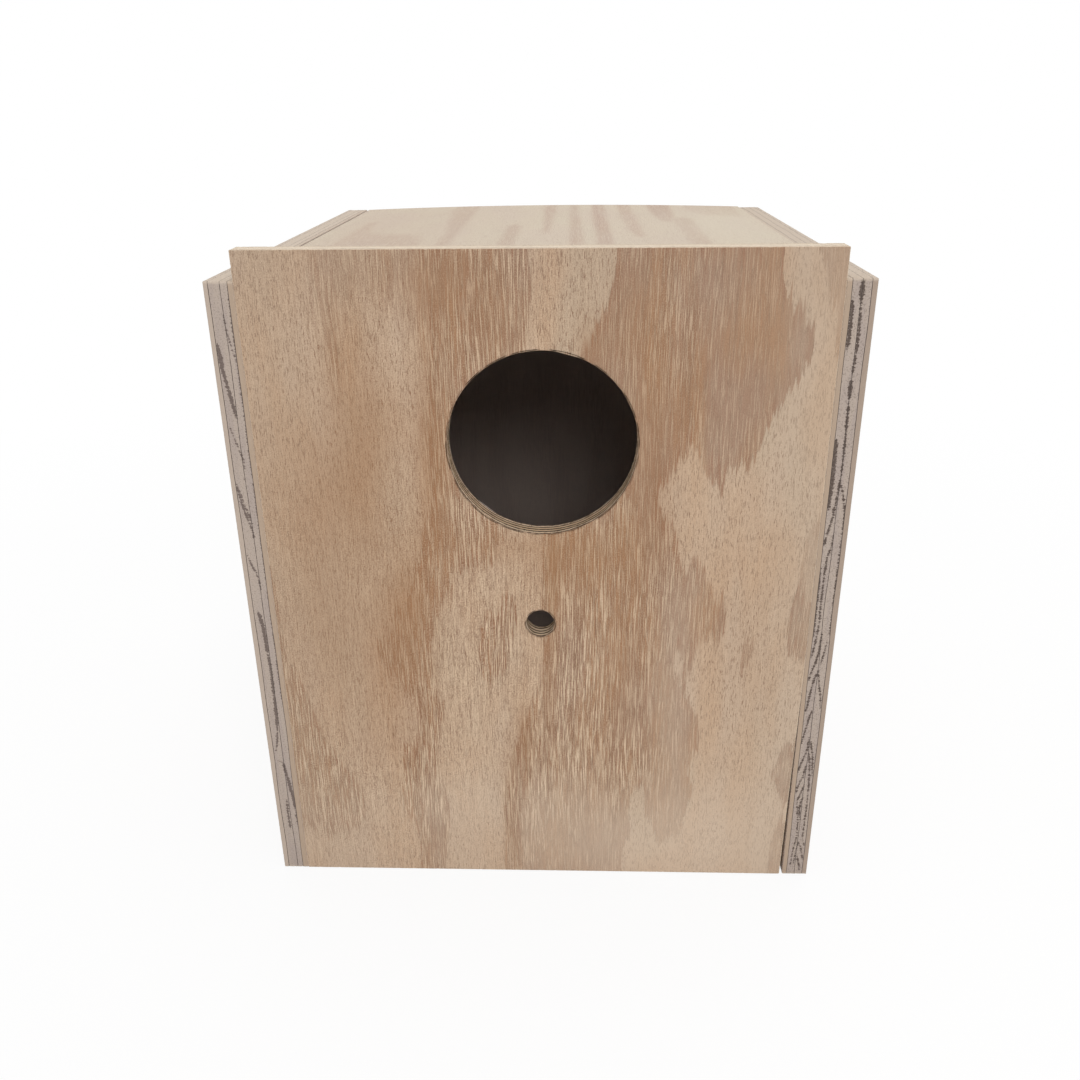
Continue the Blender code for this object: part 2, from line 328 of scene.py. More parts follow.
class Plywood(Finish):
    """A board's finish, whose figure, veneers and rings follow the board's own attributes."""

    def __init__(self, name, axes, tones, seed):
        """Axes are the directions across, along and through the grain of its faces."""
        super().__init__(name)
        self.tones = tones
        self.seed = seed
        split = self.node("ShaderNodeSeparateXYZ", None, {"Vector": self.millimetres})
        self.across, self.along, self.through = [split.out(axis) for axis in axes]
        self.ways = {"across": self.across, "along": self.along}
        straight = self.place(self.across, self.along)
        drift = self.texture(straight, "drift") - 0.5
        ripple = self.texture(straight, "ripple") - 0.5
        self.grain = self.place(self.across + drift * DRIFT + ripple * RIPPLE, self.along)
        self.cloud = self.texture(self.grain, "cloud")
        self.streak = self.texture(self.grain, "streak")
        self.vein = self.texture(self.grain, "vein")
        self.dust = self.texture(self.grain, "dust") - 0.5
        self.dark_fibre = 1 - self.vein.step(0.38, 0.5)
        self.light_fibre = self.texture(self.grain, "thread").step(0.5, 0.58)
        self.pores = 1 - self.texture(self.grain, "fleck").step(0.32, 0.41)
        self.ply = self.attribute("ply")
        self.from_face = self.ply.least(VENEERS - self.ply)

    def place(self, side, lie):
        return self.node("ShaderNodeCombineXYZ", None, {"X": side, "Y": lie, "Z": self.through})

    def texture(self, place, name):
        scale, number, *rest = TEXTURES[name]
        return self.noise(place, scale, self.seed + number, *rest)

    def coated(self, colour, *coats):
        """A colour under coats of other tones, each as strong as its share."""
        for share, tone in coats:
            colour = self.mix(share, colour, tone)
        return colour

    def figure(self):
        """How brown the face is, and where the rims of its brown zones are darker.

        Their edges are drawn out along the grain, crisp in places and soft in others.
        """
        teeth = (self.texture(self.grain, "teeth") - 0.5) * TEETH
        nicks = (self.texture(self.grain, "nicks") - 0.5) * NICKS
        depth = self.attribute("figure") + teeth + nicks + self.dust
        blur = self.texture(self.grain, "blur").step(0.5, 0.75) * 1.2 + 0.15
        latewood = depth.step(blur * -1.0, blur) * self.attribute("strength")
        blush = self.attribute("blush") * (self.streak + self.cloud * 0.8 - 0.1)
        brown = latewood.most(blush.most(0.0)).least(1.0)
        rim = latewood * (1 - depth.step(0.8, 2.4)) * self.streak.step(0.42, 0.56)
        return brown, rim

    def loudness(self, lively, calm):
        """How strongly the fibres show, which changes over each calm stretch."""
        loud = (self.texture(self.grain, "loudness").step(0.3, 0.7) * 0.5 + 0.9) * lively
        for way, low, high, amount in calm:
            loud = loud * (1 - self.ways[way].step(low, high) * amount)
        return loud

    def latewood(self, rim, loud):
        """Dark latewood with pale torn fibres in it."""
        tones = self.tones
        strand = self.texture(self.grain, "strand")
        return self.coated(
            self.mix(self.cloud.step(0.38, 0.62), tones["brown"], tones["brown_warm"]),
            (self.streak.step(0.5, 0.68) * 0.45, tones["deep"]),
            (rim * 0.6, tones["rim"]),
            (self.dark_fibre * 0.85 * loud, tones["deep"]),
            ((1 - strand.step(0.36, 0.5)) * 0.15 * loud, tones["deep"]),
            (self.light_fibre * 0.8 * loud, tones["torn"]),
        )

    def earlywood(self, loud):
        """Pale earlywood with short dark pores."""
        tones = self.tones
        stain = self.texture(self.grain, "stain")
        return self.coated(
            self.mix(self.cloud.step(0.35, 0.65), tones["pale"], tones["pale_warm"]),
            (stain.step(0.5, 0.66) * 0.6, tones["pale_cool"]),
            (self.pores * 1.5 * loud, tones["pore"]),
            (self.dark_fibre * 0.32 * loud, tones["pore"]),
            (self.light_fibre * 0.4 * loud, tones["torn"]),
        )

    def face(self, brown, rim, loud, tints):
        """The colour of both faces, of which the inner one is paler: partly a greyer tone of its own and
        partly painted light, which brightens the shaded inside of the box.
        """
        tones = self.tones
        warmth = self.attribute("warmth")
        return self.coated(
            self.mix(brown, self.earlywood(loud), self.latewood(rim, loud)),
            ((self.dust * 1.8).most(0.0) * loud, tones["torn"]),
            ((self.dust * -1.8).most(0.0) * loud, tones["deep"]),
            (warmth.most(0.0), tones["warm"]),
            ((warmth * -1.0).most(0.0), tones["bleached"]),
            *[(self.ways[way].step(low, high) * amount, tone) for way, low, high, amount, tone in tints],
            # Partly painted light: the inner faces are made paler, which brightens the shaded inside of
            # the box
            (self.ply.step(VENEERS - 0.1, VENEERS) * 0.72, tones["inside"]),
        )

    def glue(self, cut, in_hole):
        """The dark glue lines between the veneers, broken here and there."""
        near = (self.ply % 1.0).least(1 - self.ply % 1.0) - in_hole * 0.16
        dashes = self.texture(cut, "dashes").step(0.3, 0.5) * 0.3 + 0.7
        return (1 - near.step(0.05, 0.12)) * dashes * self.from_face.step(0.4, 0.6).most(in_hole)

    def sawn(self):
        """The colour and relief of a cut edge, whose middle veneers lie across the outer ones."""
        tones = self.tones
        number = self.ply.floor()
        turned = number * (VENEERS - 1 - number) * 0.5
        endways = self.attribute("endways")
        end = turned + endways - turned * endways * 2.0
        side = self.across + (self.along - self.across) * turned
        lie = self.along + (self.across - self.along) * turned
        cut = self.place(side, lie)
        grit = self.texture(cut, "grit")
        ragged = (self.texture(cut, "saw") - 0.5) * 1.6 + (grit - 0.5) * 1.4
        mark = (self.attribute("line") + ragged).step(-0.22, 0.2) * end
        bored = self.attribute("bored")
        in_hole = bored.step(0.0, 0.4)
        top = endways * (1 - in_hole)
        colour = self.coated(
            self.mix(end, tones["edge_long"], tones["edge_end"]),
            (self.ply.step(VENEERS - 1, VENEERS - 0.99), tones["edge_inner"]),
            (self.texture(cut, "patch").step(0.4, 0.65) * 0.5 * end, tones["edge_tint"]),
            # Painted light: the walls of the holes get paler tones, which stand in for the light that
            # their shaded walls lack
            (bored * 0.8, self.mix(turned, tones["bored"], tones["bored_end"])),
            ((1 - grit.step(0.34, 0.48)) * (end * 0.3 + 0.06), tones["edge_line"]),
            (grit.step(0.54, 0.68) * 0.25, tones["edge_long"]),
            (mark * (grit * 1.1 + 0.4).least(1.0), tones["edge_line"]),
            (top * 0.75, tones["edge_top"]),
            (
                self.glue(cut, in_hole) * (1 - top * 0.55),
                self.mix(in_hole, tones["glue"], tones["bored_glue"]),
            ),
        )
        return colour, grit - mark * 0.4


def plywood(name, axes, tones, seed, lively=1.0, tints=(), calm=()):
    """The finish of one board. Tints and calm stretches run across or along it, in mm."""
    wood = Plywood(name, axes, tones, seed)
    brown, rim = wood.figure()
    face = wood.face(brown, rim, wood.loudness(lively, calm), tints)
    sawn, sawn_relief = wood.sawn()
    edge = wood.from_face.step(0.0, 0.05)
    fibres = (wood.light_fibre * 0.6 + wood.vein + wood.dust) * (brown * 0.7 + 0.3)
    relief = fibres - wood.pores * (1 - brown) * 0.6
    relief = relief + (sawn_relief - relief) * edge
    return wood.shade(wood.mix(edge, face, sawn), 0.75 + wood.vein * 0.1, relief, GRAIN_DEPTH)


def steel(name, tone, dull, brush, seed):
    """Plated steel with a brushed direction and dull spots."""
    metal = Finish(name)
    lines = metal.noise(metal.millimetres, brush, seed, 3.0)
    spots = metal.noise(metal.millimetres, (0.7, 0.7, 0.7), seed + 5, 3.0)
    spotted = metal.mix(spots.step(0.35, 0.75) * 0.6, tone, dull)
    rough = 0.26 + lines * 0.2 + spots * 0.08
    return metal.shade(spotted, rough, lines + spots * 0.3, BRUSH_DEPTH, 0.5, Metallic=1.0)


# The boards' shapes
FIELDS = ("figure", "strength", "blush", "warmth")
# Flames of a grown face and dark lines of a grown edge, in mm
FLAME_WIDTH = 5
FLAME_SPACING = 26
LINE_SPACING = 2.6


def border_run(corners):
    """Points along a closed outline with its square corners cut, and the directions out of it."""
    corners = np.array(corners)
    ahead = np.roll(corners, -1, axis=0) - corners
    lengths = np.linalg.norm(ahead, axis=1)
    ways = ahead / lengths[:, None]
    sides = np.stack([ways[:, 1], -ways[:, 0]], axis=1)
    square = (ways * np.roll(ways, 1, axis=0)).sum(1) < 0.5
    points, outward = [], []
    for i, corner in enumerate(corners):
        beyond = (i + 1) % len(corners)
        start = CORNER_CUT if square[i] else 0.0
        stop = lengths[i] - (CORNER_CUT if square[beyond] else 0.0)
        count = round((stop - start) / EDGE_STEP)
        places = start + (stop - start) * np.arange(count + 1 if square[beyond] else count) / count
        directions = np.tile(sides[i], (len(places), 1))
        if square[i]:
            directions[0] += sides[i - 1]
        if square[beyond]:
            directions[-1] += sides[beyond]
        points.append(corner + ways[i] * places[:, None])
        outward.append(directions)
    return np.concatenate(points), np.concatenate(outward)


def hole_run(centre, diameter):
    """Points round a hole, clockwise, and the directions out of the wood."""
    count = max(24, round(math.pi * diameter / EDGE_STEP))
    turns = -2 * math.pi * np.arange(count) / count
    ways = np.stack([np.cos(turns), np.sin(turns)], axis=1)
    return np.array(centre) + ways * diameter / 2, -ways


def waves(points, scale, seed):
    """Smooth noise from about -0.5 to 0.5 at points in mm."""
    scaled = np.column_stack([points, np.zeros((len(points), 3 - points.shape[1]))]) * scale
    return np.array([noise.noise((x, y, z + seed)) for x, y, z in scaled.tolist()])


def edge_rings(thickness, shares, border, end, seed):
    """The rings round a cut edge from face to face: each one's depths, ply value and insets."""
    flat = border / MM
    ones = np.ones(len(flat))
    chips = np.clip(waves(flat, 0.9, seed + 60), 0, 1) * CHIP_DEPTH
    arris = [(0.0, 0.0, ARRIS_MARGIN * ones)]
    for depth, inset, value in ARRIS_PROFILE:
        arris.append((depth * ARRIS_RADIUS, value, inset * ARRIS_RADIUS + chips))
    bounds = [thickness * share * ones for share in shares]
    for number in range(1, VENEERS):
        bounds[number] += GLUE_WANDER * waves(flat, 0.03, seed + number * 9)
    rings = [(ones * depth, value, inset) for depth, value, inset in arris]
    for number, (upper, lower) in enumerate(zip(bounds, bounds[1:])):
        turned = number in (1, 2)
        ends = 1 - end if turned else end
        rough = LONG_GRAIN_ROUGHNESS + (END_GRAIN_ROUGHNESS - LONG_GRAIN_ROUGHNESS) * ends
        start = upper + (GLUE_WIDTH / 2 if number else 2 * ARRIS_RADIUS)
        stop = lower - (GLUE_WIDTH / 2 if number < VENEERS - 1 else 2 * ARRIS_RADIUS)
        for share in np.linspace(0, 1, 1 + round(float((stop - start).mean()) / RING_STEP)):
            depth = start + (stop - start) * share
            places = np.column_stack([flat, depth / MM])
            dents = np.clip(waves(places, 1.3, seed) + 0.5, 0, 1) * rough
            rings.append((depth, number + PLY_EDGE + (1 - 2 * PLY_EDGE) * share, dents))
        if number < VENEERS - 1:
            rings.append((lower, number + 1.0, GLUE_DEPTH * ones))
    for depth, value, inset in reversed(arris):
        rings.append((thickness - depth * ones, VENEERS - value, inset))
    return rings


def segment_distances(points, start, stop):
    """How far each point is from each of the straight runs."""
    way = stop - start
    away = points[:, None] - start
    share = np.clip((away * way).sum(2) / (way * way).sum(1), 0, 1)
    return np.linalg.norm(away - share[..., None] * way, axis=2)


def depths_inside(points, outline):
    """How far each point is inside an outline, where a step along the grain counts for less."""
    squeeze = np.array([1, ALONG_SHARE])
    points = points * squeeze
    start = np.array(outline) * squeeze
    stop = np.roll(start, -1, axis=0)
    distance = segment_distances(points, start, stop).min(1)
    x, y = points[:, :1], points[:, 1:]
    rise = stop[:, 1] - start[:, 1]
    crossing = start[:, 0] + (y - start[:, 1]) * (stop - start)[:, 0] / np.where(rise, rise, 1)
    passes = (start[:, 1] > y) != (stop[:, 1] > y)
    inside = (passes & (x < crossing)).sum(1) % 2 == 1
    return np.where(inside, distance, -distance)


def drawn_figure(points, zones):
    """A face's drawn figure: depth inside its brown zones, strength, soft shades and warmth."""
    figure = np.full(len(points), NO_ZONE)
    strength = np.ones(len(points))
    for outline, amount in zones["brown"]:
        depth = depths_inside(points, outline)
        strength = np.where(depth > figure, amount, strength)
        figure = np.maximum(figure, depth)
    for outline in zones["pale"]:
        figure = np.minimum(figure, -depths_inside(points, outline))
    blush = np.zeros(len(points))
    for outline, amount, soft in zones["shades"]:
        rise = np.clip(depths_inside(points, outline) / soft + 0.5, 0, 1)
        blush = np.maximum(blush, amount * rise * rise * (3 - 2 * rise))
    warmth = np.zeros(len(points))
    for x, y, width, height, amount in zones["glows"]:
        away = (points - (x, y)) / (width, height)
        warmth += amount * np.exp(-(away * away).sum(1))
    return figure, strength, blush, warmth


def grown_figure(points, seed):
    """The figure of a face that the photograph doesn't show: long flames of growth rings."""
    tall = points * (1, 1 / 6)
    drift = waves(tall, 0.02, seed) * 60 + waves(tall, 0.06, seed + 4) * 14
    heart = points - points.mean(0) * (1 + 0.4 * math.sin(seed), 0.5 + 0.5 * math.cos(seed))
    level = np.hypot(heart[:, 0] + drift, heart[:, 1] / 5)
    figure = FLAME_WIDTH - np.abs(np.mod(level, FLAME_SPACING) - FLAME_SPACING / 2)
    shade = np.clip(waves(tall, 0.03, seed + 9) * 1.6, 0, 0.4)
    warmth = waves(points, 0.012, seed + 15) * 0.8
    return figure, np.full(len(points), 0.75), shade, warmth


def grown_lines(flat, depth, seed):
    """How far each point of an edge is inside the dark lines of its growth rings."""
    level = depth + waves(flat, 0.018, seed + 50) * 12 + waves(flat, 0.08, seed + 51) * 2.5
    width = 0.15 + np.clip(waves(flat, 0.03, seed + 52), 0, 1)
    return width - np.abs(np.mod(level, LINE_SPACING) - LINE_SPACING / 2)


def drawn_lines(flat, depth, lines):
    """The same for an edge whose dark lines are drawn, by half their widths and their points."""
    places = np.column_stack([depth, flat[:, 1]])
    inside = np.full(len(places), NO_LINE)
    for half_width, line in lines:
        line = np.array(line, float)
        distance = segment_distances(places, line[:-1], line[1:]).min(1)
        ends = np.linalg.norm(places[:, None] - line[[0, -1]], axis=2).min(1)
        taper = np.clip(0.35 + ends / 4, 0, 1)
        inside = np.maximum(inside, half_width * taper - distance)
    return inside


def face_points(width, height, holes, pits):
    """Points over a face between its borders, with nail pits, and how far each one is sunk."""
    rows = []
    step_across, step_along = FACE_STEP
    for number, v in enumerate(np.arange(FACE_MARGIN, height - FACE_MARGIN, step_along)):
        start = FACE_MARGIN + (step_across / 2 if number % 2 else 0.0)
        u = np.arange(start, width - FACE_MARGIN, step_across)
        rows.append(np.column_stack([u, np.full(len(u), v)]))
    points = np.concatenate(rows)
    clearings = [(centre, diameter / 2 + FACE_MARGIN) for centre, diameter in holes]
    clearings += [(centre, PIT_RINGS[-1][0] + 0.5 * MM) for centre in pits]
    for centre, radius in clearings:
        points = points[np.linalg.norm(points - centre, axis=1) > radius]
    places, sunk = [points], [np.zeros(len(points))]
    turns = 2 * math.pi * np.arange(PIT_SIDES) / PIT_SIDES
    circle = np.stack([np.cos(turns), np.sin(turns)], axis=1)
    for centre in pits:
        places.append(np.array([centre]))
        sunk.append(np.array([PIT_RINGS[0][1]]))
        for radius, depth in PIT_RINGS:
            places.append(centre + radius * circle)
            sunk.append(np.full(PIT_SIDES, depth))
    return np.concatenate(places), np.concatenate(sunk)


def face_triangles(border, inner, loops, holes):
    """The triangles of a face, between its borders and its inner points."""
    flat = np.concatenate([border, inner]) / MM
    links, start = [], 0
    for points, _ in loops:
        numbers = start + np.arange(len(points))
        links += np.column_stack([numbers, np.roll(numbers, -1)]).tolist()
        start += len(points)
    filled = geometry.delaunay_2d_cdt([Vector(point) for point in flat], links, [], 1, 1e-4, True)
    triangles = np.array(filled[2])
    middles = flat[triangles].mean(1) * MM
    for centre, diameter in holes:
        outside = np.linalg.norm(middles - centre, axis=1) > diameter / 2
        triangles, middles = triangles[outside], middles[outside]
    return triangles


def edge_quads(loops, ring_count):
    """The quads between the rings of the edges."""
    count = sum(len(points) for points, _ in loops)
    quads, start = [], 0
    for points, _ in loops:
        here = start + np.arange(len(points))
        beyond = np.roll(here, -1)
        for near in range(0, (ring_count - 1) * count, count):
            far = near + count
            quads.append(np.column_stack([near + here, far + here, far + beyond, near + beyond]))
        start += len(points)
    return np.concatenate(quads)


def board_faces(triangles, loops, ring_count, inner_count):
    """The quads of the edges and the triangles of both faces, of which the back ones are turned."""
    border = np.arange(sum(len(points) for points, _ in loops))
    inner = np.arange(inner_count) + ring_count * len(border)
    back_ring = border + (ring_count - 1) * len(border)
    front = np.concatenate([border, inner])[triangles]
    back = np.concatenate([back_ring, inner + inner_count])[triangles][:, ::-1]
    return edge_quads(loops, ring_count).tolist() + front.tolist() + back.tolist()


def edge_marks(border, outward, rings, lines, seed):
    """How far the points of each ring are inside the dark lines of the growth rings."""
    flat = border / MM
    marks = []
    for depth, _, _ in rings:
        found = grown_lines(flat, depth / MM, seed)
        if lines:
            drawn = drawn_lines(flat, depth / MM, lines["marks"])
            found = np.where(outward[:, 0] * lines["way"] > 0.9, drawn, found)
        marks.append(found)
    return np.concatenate(marks)


def edge_values(loops, rings, inner_count, end, marks):
    """Where each point is in the veneers, in a hole, in end grain and in the dark lines."""
    plies = [np.full(len(end), value) for _, value, _ in rings]
    plies += [np.zeros(inner_count), np.full(inner_count, VENEERS)]
    # How much painted light the wall of each loop gets: none on the outline
    shares = (0.0, *BORED_PAINTED_LIGHT)
    bored = [np.full(len(points), share) for (points, _), share in zip(loops, shares)]
    faces = np.zeros(2 * inner_count)
    return {
        "ply": np.concatenate(plies),
        "line": np.concatenate([marks, faces + NO_LINE]),
        "bored": np.concatenate([np.tile(np.concatenate(bored), len(rings)), faces]),
        "endways": np.concatenate([np.tile(end, len(rings)), faces]),
    }


def face_values(before, behind, rings, count):
    """The figure of each point, which the rings take from the face that is nearer."""
    values = {}
    for label, outside, inside in zip(FIELDS, before, behind):
        by_ring = [(outside if value < VENEERS / 2 else inside)[:count] for _, value, _ in rings]
        values[label] = np.concatenate(by_ring + [outside[count:], inside[count:]])
    return values


def board(
    name, node, axes, seed, finish, plies=PLIES, outline=None, holes=(), pits=(), zones=None,
    middle=(0, 0), lines=None, bend=None, sheet=None, across_grain=False, body="box",
):
    """A plywood board in place of its CAD solid: two faces, and edges that show its veneers.

    Its axes are across and along its outer face, and through it. Each plan of zones or lines is
    in mm, the zones from the middle that is given. A board that has cupped has a bend, which says
    how far it stands up, and the thickness of its sheet.
    """
    low, high = [np.array(corner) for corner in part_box(node)]
    directions = np.array(axes, float)
    size = np.abs(directions) @ (high - low)
    corner = (low + high) / 2 - directions.T @ size / 2
    width, height, thickness = size
    if bend:
        corner = corner + directions[2] * (thickness - sheet)
        thickness = sheet
    outline = outline or [(0, 0), (width, 0), (width, height), (0, height)]
    loops = [border_run(outline)] + [hole_run(centre, diameter) for centre, diameter in holes]
    border = np.concatenate([points for points, _ in loops])
    outward = np.concatenate([ways for _, ways in loops])
    unit = np.abs(outward) / np.linalg.norm(outward, axis=1)[:, None]
    end = unit[:, 0 if across_grain else 1] * END_GRAIN_ABOVE
    rings = edge_rings(thickness, plies, border, end, seed)
    inner, sunk = face_points(width, height, holes, pits)
    triangles = face_triangles(border - outward * ARRIS_MARGIN, inner, loops, holes)

    flats = [border - outward * inset[:, None] for _, _, inset in rings]
    flats = np.concatenate(flats + [inner, inner])
    depths = [depth for depth, _, _ in rings]
    depths = np.concatenate(depths + [sunk, np.full(len(inner), thickness)])
    heights = (bend(flats[:, 0] / width) if bend else 0.0) - depths
    world = corner + flats @ directions[:2] - heights[:, None] * directions[2]
    mesh = bpy.data.meshes.new(name)
    mesh.from_pydata(world.tolist(), [], board_faces(triangles, loops, len(rings), len(inner)))
    mesh.shade_smooth()

    spots = np.concatenate([border, inner]) / MM
    behind = grown_figure(spots, seed + 40)
    before = drawn_figure(spots - middle, zones) if zones else grown_figure(spots, seed)
    marks = edge_marks(border, outward, rings, lines, seed)
    values = edge_values(loops, rings, len(inner), end, marks)
    values |= face_values(before, behind, rings, len(border))
    for label, numbers in values.items():
        attribute = mesh.attributes.new(label, "FLOAT", "POINT")
        attribute.data.foreach_set("value", numbers.astype(np.float32))
    mesh.materials.append(finish)
    made = linked(name, mesh)
    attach(made, body)
    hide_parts(node)


# Nails, screws and hinge pins: a profile that Geometry Nodes turn and set at each place
def turned_shape(tree, given, rows):
    """A profile of so many rows, turned about the z axis."""
    columns = given.out("Sides") + 1
    grid = tree.node("GeometryNodeMeshGrid", None, {"Vertices X": rows, "Vertices Y": columns})
    index = tree.node("GeometryNodeInputIndex")
    row = (index / columns + ROUNDING).floor()
    turn = (index - row * columns) / given.out("Sides") * (2 * math.pi)
    radius, height = [
        tree.choice(row, [given.out(f"{size} {number}") for number in range(rows)])
        for size in ("Radius", "Height")
    ]
    place = tree.node(
        "ShaderNodeCombineXYZ",
        None,
        {"X": radius * turn.cosine(), "Y": radius * turn.sine(), "Z": height},
    )
    turned = tree.node("GeometryNodeSetPosition", None, {"Geometry": grid, "Position": place})
    return tree.node(
        "GeometryNodeMergeByDistance", None, {"Geometry": turned, "Distance": MERGE_DISTANCE}
    )


def cross_recessed(tree, given, shape):
    """The shape with a cross recess cut in its head."""
    long, narrow = given.out("Recess Length"), given.out("Recess Width")
    deep = given.out("Recess Depth") * 2.0
    slots = []
    for x, y in ((long, narrow), (narrow, long)):
        size = tree.node("ShaderNodeCombineXYZ", None, {"X": x, "Y": y, "Z": deep})
        slots.append(tree.node("GeometryNodeMeshCube", None, {"Size": size}))
    return tree.node(
        "GeometryNodeMeshBoolean",
        {"operation": "DIFFERENCE", "solver": "EXACT"},
        {"Mesh 1": shape, "Mesh 2": slots},
    )


def set_at_places(tree, given, shape):
    """The shape at each place, with its head towards the place's way, turned about itself."""
    way = tree.node(
        "GeometryNodeInputNamedAttribute", {"data_type": "FLOAT_VECTOR"}, {"Name": "way"}
    )
    facing = tree.node("FunctionNodeAlignRotationToVector", {"axis": "Z"}, {"Vector": way})
    angle = tree.node(
        "FunctionNodeRandomValue",
        {"data_type": "FLOAT"},
        {"Max": 2 * math.pi, "Seed": given.out("Seed")},
    )
    spin = tree.node("ShaderNodeCombineXYZ", None, {"Z": angle})
    facing = tree.node(
        "FunctionNodeRotateRotation",
        {"rotation_space": "LOCAL"},
        {"Rotation": facing, "Rotate By": spin},
    )
    parts = tree.node(
        "GeometryNodeInstanceOnPoints",
        None,
        {"Points": given.out("Places"), "Instance": shape, "Rotation": facing},
    )
    return tree.node("GeometryNodeRealizeInstances", None, {"Geometry": parts})


def turned_group(rows, recessed):
    """A node group that turns a profile, cuts its cross recess and sets it at each point."""
    group = bpy.data.node_groups.new("turned_parts", "GeometryNodeTree")
    inputs = [("Places", "Geometry"), ("Sides", "Int"), ("Seed", "Int"), ("Finish", "Material")]
    inputs += [(f"Recess {size}", "Float") for size in ("Length", "Width", "Depth")]
    inputs += [(f"{size} {row}", "Float") for size in ("Radius", "Height") for row in range(rows)]
    for name, kind in inputs:
        group.interface.new_socket(name=name, in_out="INPUT", socket_type=f"NodeSocket{kind}")
    group.interface.new_socket(name="Parts", in_out="OUTPUT", socket_type="NodeSocketGeometry")
    tree = Tree(group)
    given = tree.node("NodeGroupInput")
    shape = turned_shape(tree, given, rows)
    if recessed:
        shape = cross_recessed(tree, given, shape)
    finished = tree.node(
        "GeometryNodeSetMaterial",
        None,
        {"Geometry": set_at_places(tree, given, shape), "Material": given.out("Finish")},
    )
    tree.node("NodeGroupOutput", None, {"Parts": finished})
    return group


def linked(name, mesh):
    made = bpy.data.objects.new(name, mesh)
    bpy.context.scene.collection.objects.link(made)
    return made


def grown(name, base, group, sizes):
    """What a node group makes of a mesh, as a plain mesh object."""
    source = linked(name, base)
    modifier = source.modifiers.new("nodes", "NODES")
    modifier.node_group = group
    for item in group.interface.items_tree:
        if item.name in sizes:
            modifier[item.identifier] = sizes[item.name]
    return settled(source)


def settled(source):
    """The object with its modifiers applied and taken off."""
    evaluated = source.evaluated_get(bpy.context.evaluated_depsgraph_get())
    mesh = bpy.data.meshes.new_from_object(evaluated)
    source.modifiers.clear()
    source.data = mesh
    return source


def turned_parts(name, profile, sides, nodes, way, finish, body="box", recess=None):
    """One turned part in place of each CAD solid, with its head towards its way."""
    direction = Vector(way)
    places = []
    for node in nodes:
        low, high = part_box(node)
        reach = abs(direction.dot(high - low)) / 2
        places.append((low + high) / 2 + direction * reach)
    mesh = bpy.data.meshes.new(name)
    mesh.from_pydata(places, [], [])
    attribute = mesh.attributes.new("way", "FLOAT_VECTOR", "POINT")
    attribute.data.foreach_set("vector", np.tile(np.float32(way), len(nodes)))
    sizes = {"Sides": sides, "Seed": TURN_SEED, "Finish": finish}
    for row, (radius, height) in enumerate(profile):
        sizes |= {f"Radius {row}": radius, f"Height {row}": height}
    sizes |= {f"Recess {label}": size for label, size in (recess or {}).items()}
    made = grown(name, mesh, turned_group(len(profile), bool(recess)), sizes)
    made.data.set_sharp_from_angle(angle=TURNED_CREASE)
    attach(made, body)
    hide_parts(*nodes)


def lofted(name, loops):
    """A closed solid through loops that have the same number of points."""
    count = len(loops[0])
    last = (len(loops) - 1) * count
    faces = [list(range(count)), list(range(last, last + count))]
    for start in range(0, last, count):
        for number in range(count):
            near = start + number
            beyond = start + (number + 1) % count
            faces.append([near, beyond, beyond + count, near + count])
    mesh = bpy.data.meshes.new(name)
    mesh.from_pydata([point for loop in loops for point in loop], [], faces)
    shape = bmesh.new()
    shape.from_mesh(mesh)
    bmesh.ops.recalc_face_normals(shape, faces=shape.faces)
    shape.to_mesh(mesh)
    shape.free()
    return linked(name, mesh)


def combined(made, tool, operation):
    """Applies a tool to an object and removes the tool."""
    modifier = made.modifiers.new("boolean", "BOOLEAN")
    modifier.operation = operation
    modifier.object = tool
    settled(made)
    bpy.data.objects.remove(tool)


def leaf_section(width):
    """A leaf from its side, out and down from the pin: the plate, and the roll round the pin."""
    turns = [ROLL_TURN * step / ROLL_STEPS for step in range(ROLL_STEPS + 1)]
    section = [(-LEAF_FAR, width), (-LEAF_FAR, ROLL_START)]
    section += [(-BARREL_RADIUS * math.cos(t), -BARREL_RADIUS * math.sin(t)) for t in turns]
    section += [(-BORE_RADIUS * math.cos(t), -BORE_RADIUS * math.sin(t)) for t in reversed(turns)]
    return section + [(-LEAF_NEAR, ROLL_START), (-LEAF_NEAR, width)]


def leaf_plan(length, width, own):
    """A leaf from its front: its own knuckles, the gaps for the other leaf's, and round corners."""
    start = -length / 2
    outline = []
    for knuckle in range(KNUCKLES):
        shrink = KNUCKLE_GAP / 2 if knuckle % 2 == own else -KNUCKLE_GAP / 2
        first = start + length * knuckle / KNUCKLES + (shrink if knuckle else 0)
        last = start + length * (knuckle + 1) / KNUCKLES - (shrink if knuckle < KNUCKLES - 1 else 0)
        top = -KNUCKLE_CLEAR if knuckle % 2 == own else KNUCKLE_CLEAR
        outline += [(first, top), (last, top)]
    for x, turn in ((-start - LEAF_CORNER, 0), (start + LEAF_CORNER, 1)):
        for step in range(CORNER_STEPS + 1):
            angle = math.pi / 2 * (turn + step / CORNER_STEPS)
            down = width - LEAF_CORNER * (1 - math.sin(angle))
            outline.append((x + LEAF_CORNER * math.cos(angle), down))
    return outline


